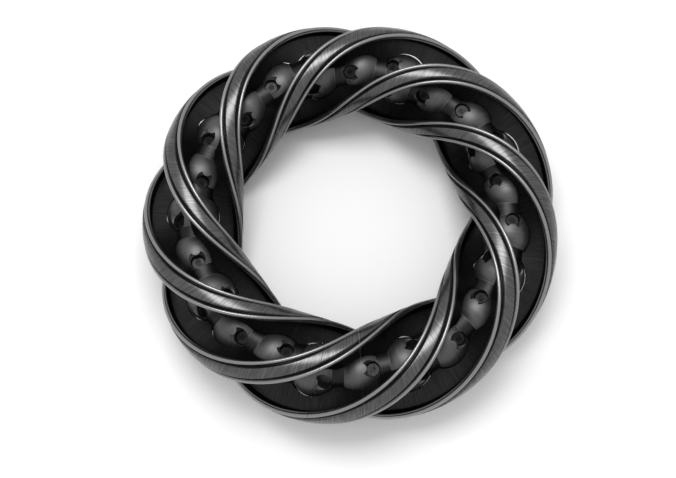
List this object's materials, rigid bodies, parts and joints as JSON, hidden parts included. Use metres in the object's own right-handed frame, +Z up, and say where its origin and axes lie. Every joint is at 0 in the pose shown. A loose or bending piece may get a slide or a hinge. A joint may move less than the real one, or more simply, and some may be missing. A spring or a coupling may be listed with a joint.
{
  "type": "twisty snake puzzle",
  "caption": "Ring of cast metal links with winding T-shaped ribs; each link swivels on the next, so the ring opens into a coil and then into a straight twisted bar.",
  "frame": {"origin": "on the ring's axis, at the level of the surface that the ring lies on", "axes": "+Z up along the ring's axis; +X and +Y across the ring, which lies flat"},
  "size_m": [0.1309, 0.1306, 0.0317],
  "materials": {
    "black_casting": "polished and brushed black nickel",
    "turned_pin": "turned, satin"
  },
  "bodies": {
    "link_01": {"link_01": "black_casting"},
    "link_02": {"link_02": "black_casting", "swivel_01": "turned_pin"},
    "link_03": {"link_03": "black_casting", "swivel_02": "turned_pin"},
    "link_04": {"link_04": "black_casting", "swivel_03": "turned_pin"},
    "link_05": {"link_05": "black_casting", "swivel_04": "turned_pin"},
    "link_06": {"link_06": "black_casting", "swivel_05": "turned_pin"},
    "link_07": {"link_07": "black_casting", "swivel_06": "turned_pin"},
    "link_08": {"link_08": "black_casting", "swivel_07": "turned_pin"},
    "link_09": {"link_09": "black_casting", "swivel_08": "turned_pin"},
    "link_10": {"link_10": "black_casting", "swivel_09": "turned_pin"},
    "link_11": {"link_11": "black_casting", "swivel_10": "turned_pin"},
    "link_12": {"link_12": "black_casting", "swivel_11": "turned_pin"},
    "link_13": {"link_13": "black_casting", "swivel_12": "turned_pin"},
    "link_14": {"link_14": "black_casting", "swivel_13": "turned_pin"},
    "link_15": {"link_15": "black_casting", "swivel_14": "turned_pin"},
    "link_16": {"link_16": "black_casting", "swivel_15": "turned_pin"},
    "link_17": {"link_17": "black_casting", "swivel_16": "turned_pin"},
    "link_18": {"link_18": "black_casting", "swivel_17": "turned_pin"},
    "link_19": {"link_19": "black_casting", "swivel_18": "turned_pin"},
    "link_20": {"link_20": "black_casting", "swivel_19": "turned_pin"},
    "link_21": {"link_21": "black_casting", "swivel_20": "turned_pin"},
    "link_22": {"link_22": "black_casting", "swivel_21": "turned_pin"},
    "link_23": {"link_23": "black_casting", "swivel_22": "turned_pin"}
  },
  "joints": [
    {"name": "swivel_turn_01", "type": "hinge", "parent": "link_02", "child": "link_01", "pos_m": [0, -0.05, 0.01584], "axis": [-1, 0, 0], "range_deg": [0, 180]},
    {"name": "swivel_turn_02", "type": "hinge", "parent": "link_03", "child": "link_02", "pos_m": [0.01349, -0.04815, 0.01584], "axis": [-0.9629, -0.2698, 0], "range_deg": [0, 180]},
    {"name": "swivel_turn_03", "type": "hinge", "parent": "link_04", "child": "link_03", "pos_m": [0.02598, -0.04272, 0.01584], "axis": [-0.8544, -0.5196, 0], "range_deg": [0, 180]},
    {"name": "swivel_turn_04", "type": "hinge", "parent": "link_05", "child": "link_04", "pos_m": [0.03654, -0.03413, 0.01584], "axis": [-0.6825, -0.7309, 0], "range_deg": [0, 180]},
    {"name": "swivel_turn_05", "type": "hinge", "parent": "link_06", "child": "link_05", "pos_m": [0.0444, -0.023, 0.01584], "axis": [-0.46, -0.8879, 0], "range_deg": [0, 180]},
    {"name": "swivel_turn_06", "type": "hinge", "parent": "link_07", "child": "link_06", "pos_m": [0.04895, -0.01017, 0.01584], "axis": [-0.2034, -0.9791, 0], "range_deg": [0, 180]},
    {"name": "swivel_turn_07", "type": "hinge", "parent": "link_08", "child": "link_07", "pos_m": [0.04988, 0.00341, 0.01584], "axis": [0.0683, -0.9977, 0], "range_deg": [0, 180]},
    {"name": "swivel_turn_08", "type": "hinge", "parent": "link_09", "child": "link_08", "pos_m": [0.04711, 0.01675, 0.01584], "axis": [0.3349, -0.9422, 0], "range_deg": [0, 180]},
    {"name": "swivel_turn_09", "type": "hinge", "parent": "link_10", "child": "link_09", "pos_m": [0.04085, 0.02884, 0.01584], "axis": [0.5767, -0.8169, 0], "range_deg": [0, 180]},
    {"name": "swivel_turn_10", "type": "hinge", "parent": "link_11", "child": "link_10", "pos_m": [0.03155, 0.03879, 0.01584], "axis": [0.7757, -0.6311, 0], "range_deg": [0, 180]},
    {"name": "swivel_turn_11", "type": "hinge", "parent": "link_12", "child": "link_11", "pos_m": [0.01992, 0.04586, 0.01584], "axis": [0.9172, -0.3984, 0], "range_deg": [0, 180]},
    {"name": "swivel_turn_12", "type": "hinge", "parent": "link_12", "child": "link_13", "pos_m": [0.00681, 0.04953, 0.01584], "axis": [-0.9907, 0.1361, 0], "range_deg": [0, 180]},
    {"name": "swivel_turn_13", "type": "hinge", "parent": "link_13", "child": "link_14", "pos_m": [-0.00681, 0.04953, 0.01584], "axis": [-0.9907, -0.1362, 0], "range_deg": [0, 180]},
    {"name": "swivel_turn_14", "type": "hinge", "parent": "link_14", "child": "link_15", "pos_m": [-0.01992, 0.04586, 0.01584], "axis": [-0.9172, -0.3984, 0], "range_deg": [0, 180]},
    {"name": "swivel_turn_15", "type": "hinge", "parent": "link_15", "child": "link_16", "pos_m": [-0.03156, 0.03878, 0.01584], "axis": [-0.7757, -0.6311, 0], "range_deg": [0, 180]},
    {"name": "swivel_turn_16", "type": "hinge", "parent": "link_16", "child": "link_17", "pos_m": [-0.04085, 0.02883, 0.01584], "axis": [-0.5766, -0.817, 0], "range_deg": [0, 180]},
    {"name": "swivel_turn_17", "type": "hinge", "parent": "link_17", "child": "link_18", "pos_m": [-0.04711, 0.01674, 0.01584], "axis": [-0.3348, -0.9423, 0], "range_deg": [0, 180]},
    {"name": "swivel_turn_18", "type": "hinge", "parent": "link_18", "child": "link_19", "pos_m": [-0.04988, 0.00341, 0.01584], "axis": [-0.0682, -0.9977, 0], "range_deg": [0, 180]},
    {"name": "swivel_turn_19", "type": "hinge", "parent": "link_19", "child": "link_20", "pos_m": [-0.04895, -0.01017, 0.01584], "axis": [0.2035, -0.9791, 0], "range_deg": [0, 180]},
    {"name": "swivel_turn_20", "type": "hinge", "parent": "link_20", "child": "link_21", "pos_m": [-0.04439, -0.023, 0.01584], "axis": [0.4601, -0.8879, 0], "range_deg": [0, 180]},
    {"name": "swivel_turn_21", "type": "hinge", "parent": "link_21", "child": "link_22", "pos_m": [-0.03654, -0.03413, 0.01584], "axis": [0.6826, -0.7308, 0], "range_deg": [0, 180]},
    {"name": "swivel_turn_22", "type": "hinge", "parent": "link_22", "child": "link_23", "pos_m": [-0.02598, -0.04272, 0.01584], "axis": [0.8544, -0.5196, 0], "range_deg": [0, 180]}
  ],
  "couplings": [
    {"joint": "swivel_turn_01", "follows": "swivel_turn_12", "ratio": 1},
    {"joint": "swivel_turn_02", "follows": "swivel_turn_12", "ratio": 1},
    {"joint": "swivel_turn_03", "follows": "swivel_turn_12", "ratio": 1},
    {"joint": "swivel_turn_04", "follows": "swivel_turn_12", "ratio": 1},
    {"joint": "swivel_turn_05", "follows": "swivel_turn_12", "ratio": 1},
    {"joint": "swivel_turn_06", "follows": "swivel_turn_12", "ratio": 1},
    {"joint": "swivel_turn_07", "follows": "swivel_turn_12", "ratio": 1},
    {"joint": "swivel_turn_08", "follows": "swivel_turn_12", "ratio": 1},
    {"joint": "swivel_turn_09", "follows": "swivel_turn_12", "ratio": 1},
    {"joint": "swivel_turn_10", "follows": "swivel_turn_12", "ratio": 1},
    {"joint": "swivel_turn_11", "follows": "swivel_turn_12", "ratio": 1},
    {"joint": "swivel_turn_13", "follows": "swivel_turn_12", "ratio": 1},
    {"joint": "swivel_turn_14", "follows": "swivel_turn_12", "ratio": 1},
    {"joint": "swivel_turn_15", "follows": "swivel_turn_12", "ratio": 1},
    {"joint": "swivel_turn_16", "follows": "swivel_turn_12", "ratio": 1},
    {"joint": "swivel_turn_17", "follows": "swivel_turn_12", "ratio": 1},
    {"joint": "swivel_turn_18", "follows": "swivel_turn_12", "ratio": 1},
    {"joint": "swivel_turn_19", "follows": "swivel_turn_12", "ratio": 1},
    {"joint": "swivel_turn_20", "follows": "swivel_turn_12", "ratio": 1},
    {"joint": "swivel_turn_21", "follows": "swivel_turn_12", "ratio": 1},
    {"joint": "swivel_turn_22", "follows": "swivel_turn_12", "ratio": 1}
  ]
}
